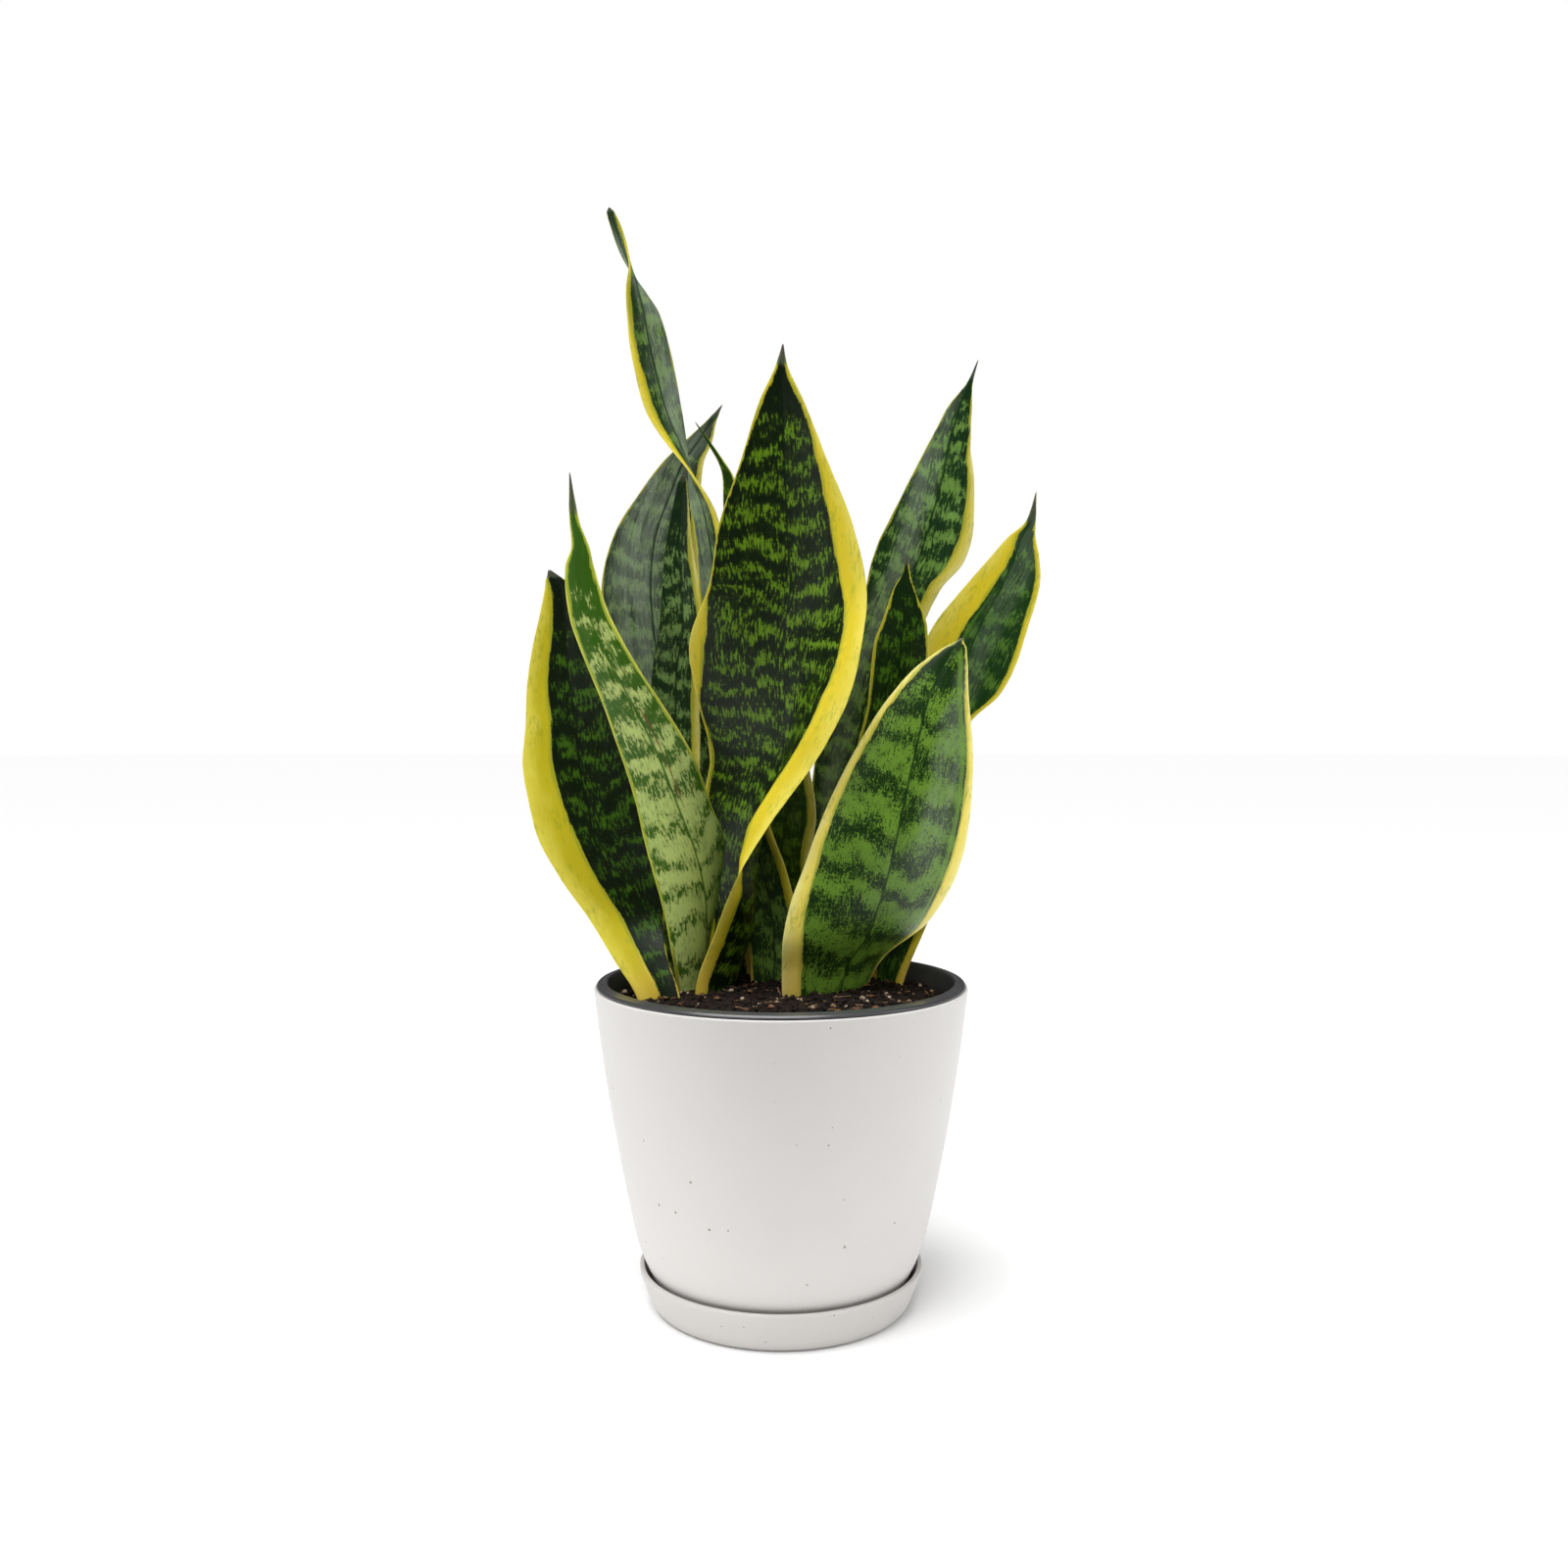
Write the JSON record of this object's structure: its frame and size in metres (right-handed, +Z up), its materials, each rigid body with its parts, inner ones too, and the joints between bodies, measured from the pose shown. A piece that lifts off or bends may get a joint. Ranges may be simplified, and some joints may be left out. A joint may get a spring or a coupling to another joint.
{
  "type": "potted snake plant",
  "caption": "Snake plant with broad, yellow-edged, banded leaves in a tapered white pot with a grey liner, standing on a matching saucer.",
  "frame": {"origin": "middle of the saucer's flat foot, where it stands", "axes": "+Z up through the pot, -Y towards the side that the broad middle leaf faces, +X to the right seen from there"},
  "size_m": [0.2262, 0.1594, 0.4637],
  "materials": {
    "saucer": "satin white with small dark specks",
    "outer_pot": "satin white with small dark specks",
    "inner_pot": "smooth mid-grey moulded plastic",
    "soil": "loose dark potting mix with pale grains and bark",
    "rhizome": "rough tan rind",
    "leaf": "waxy dark green with lighter zigzag bands and yellow edges",
    "leaf_pale": "waxy pale sage bands on mid green with thin yellow edges"
  },
  "bodies": {
    "root": {"saucer": "saucer", "outer_pot": "outer_pot", "inner_pot": "inner_pot", "soil": "soil", "rhizome_left": "rhizome", "rhizome_back": "rhizome", "rhizome_right": "rhizome", "leaf_broad_middle": "leaf", "leaf_outer_left": "leaf", "leaf_pale_left": "leaf_pale", "leaf_broad_back_left": "leaf", "leaf_stub_back_left": "leaf", "leaf_twisted_tall": "leaf", "leaf_slender_back": "leaf", "leaf_front_right": "leaf", "leaf_back_right": "leaf", "leaf_far_right": "leaf", "leaf_small_right": "leaf"}
  },
  "joints": []
}
